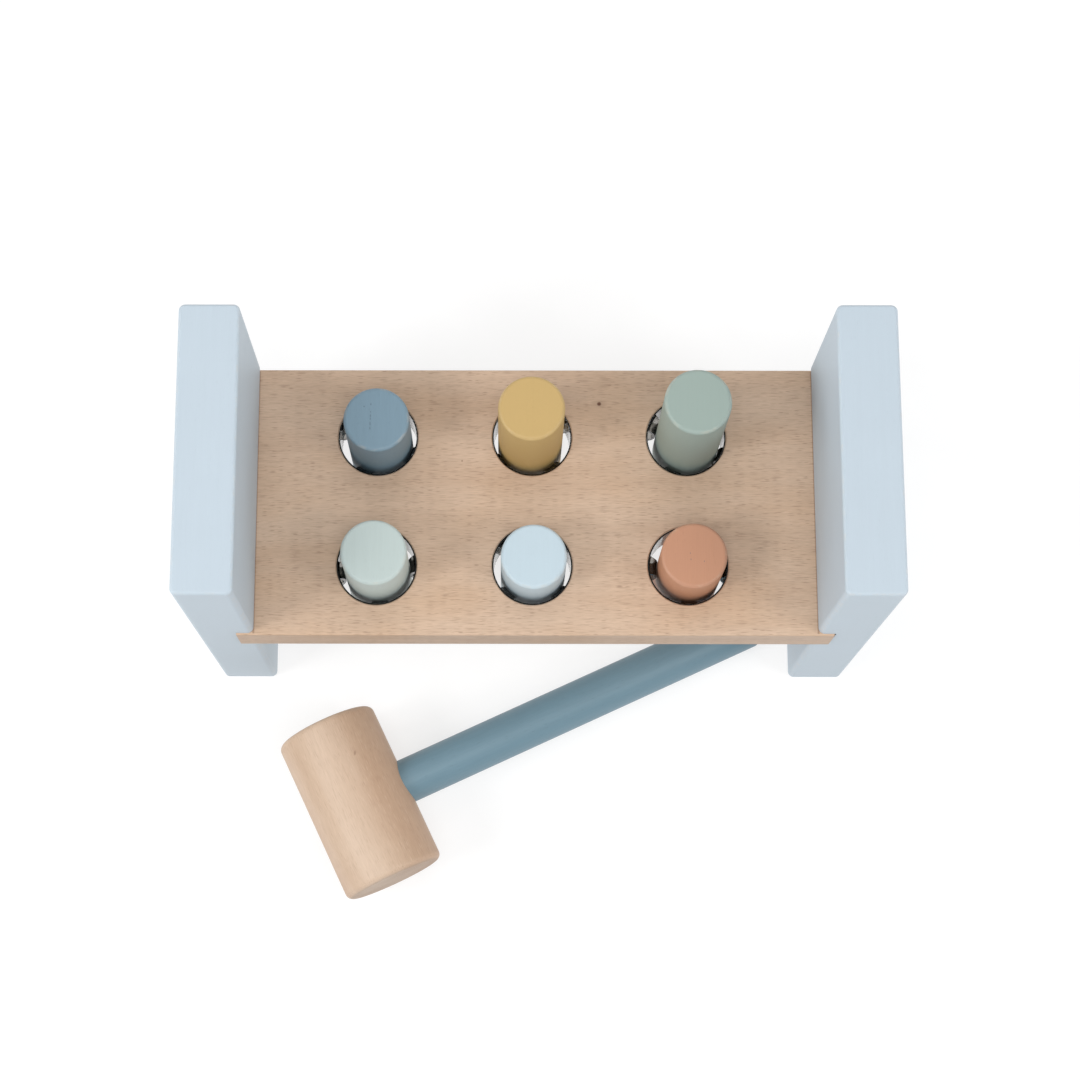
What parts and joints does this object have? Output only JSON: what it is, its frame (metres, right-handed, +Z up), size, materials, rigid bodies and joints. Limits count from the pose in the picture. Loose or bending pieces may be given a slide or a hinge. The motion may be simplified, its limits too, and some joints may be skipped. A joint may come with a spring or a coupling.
{
  "type": "toy workbench",
  "caption": "Toy hammer bench: painted pegs held by plastic grips in a drilled beech board between painted end boards, with a small wooden hammer.",
  "frame": {"origin": "on the floor, at the middle of the box that the bench and the hammer fill together", "axes": "+X along the bench from its left end board to its right one, -Y towards the front where the hammer lies, +Z up"},
  "size_m": [0.24, 0.187, 0.15],
  "materials": {
    "end_board_paint": "matt light blue paint over smooth wood",
    "board_beech": "clear matt lacquer on fine-flecked beech",
    "dowel_beech": "plain turned beech",
    "grip_plastic": "clear glossy moulded plastic",
    "blue_paint": "matt dusty blue stain paint with a little grain showing",
    "yellow_paint": "matt mustard yellow stain paint with a little grain showing",
    "green_paint": "matt sage green stain paint with a little grain showing",
    "mint_paint": "matt pale mint stain paint with a little grain showing",
    "light_blue_paint": "matt pale blue stain paint with a little grain showing",
    "terracotta_paint": "matt terracotta stain paint with a little grain showing",
    "hammer_head_wood": "plain pale wood, clear matt lacquer",
    "handle_paint": "matt steel blue stain paint with a little grain showing"
  },
  "bodies": {
    "bench": {"left_end_board": "end_board_paint", "right_end_board": "end_board_paint", "top_board": "board_beech", "left_front_dowel": "dowel_beech", "left_rear_dowel": "dowel_beech", "right_front_dowel": "dowel_beech", "right_rear_dowel": "dowel_beech", "blue_peg_grip": "grip_plastic", "yellow_peg_grip": "grip_plastic", "green_peg_grip": "grip_plastic", "mint_peg_grip": "grip_plastic", "light_blue_peg_grip": "grip_plastic", "terracotta_peg_grip": "grip_plastic"},
    "blue_peg": {"blue_peg": "blue_paint"},
    "yellow_peg": {"yellow_peg": "yellow_paint"},
    "green_peg": {"green_peg": "green_paint"},
    "mint_peg": {"mint_peg": "mint_paint"},
    "light_blue_peg": {"light_blue_peg": "light_blue_paint"},
    "terracotta_peg": {"terracotta_peg": "terracotta_paint"},
    "hammer": {"hammer_head": "hammer_head_wood", "hammer_handle": "handle_paint"}
  },
  "joints": [
    {"name": "blue_peg_slide", "type": "slide", "parent": "bench", "child": "blue_peg", "axis": [0, 0, 1], "range_m": [-0.0221, 0.0256]},
    {"name": "yellow_peg_slide", "type": "slide", "parent": "bench", "child": "yellow_peg", "axis": [0, 0, 1], "range_m": [-0.0358, 0.0119]},
    {"name": "green_peg_slide", "type": "slide", "parent": "bench", "child": "green_peg", "axis": [0, 0, 1], "range_m": [-0.0432, 0.0045]},
    {"name": "mint_peg_slide", "type": "slide", "parent": "bench", "child": "mint_peg", "axis": [0, 0, 1], "range_m": [-0.0206, 0.0271]},
    {"name": "light_blue_peg_slide", "type": "slide", "parent": "bench", "child": "light_blue_peg", "axis": [0, 0, 1], "range_m": [-0.0147, 0.033]},
    {"name": "terracotta_peg_slide", "type": "slide", "parent": "bench", "child": "terracotta_peg", "axis": [0, 0, 1], "range_m": [-0.0164, 0.0313]},
    {"name": "hammer_draw_out", "type": "slide", "parent": "bench", "child": "hammer", "axis": [0, -1, 0], "range_m": [0, 0.12]}
  ]
}
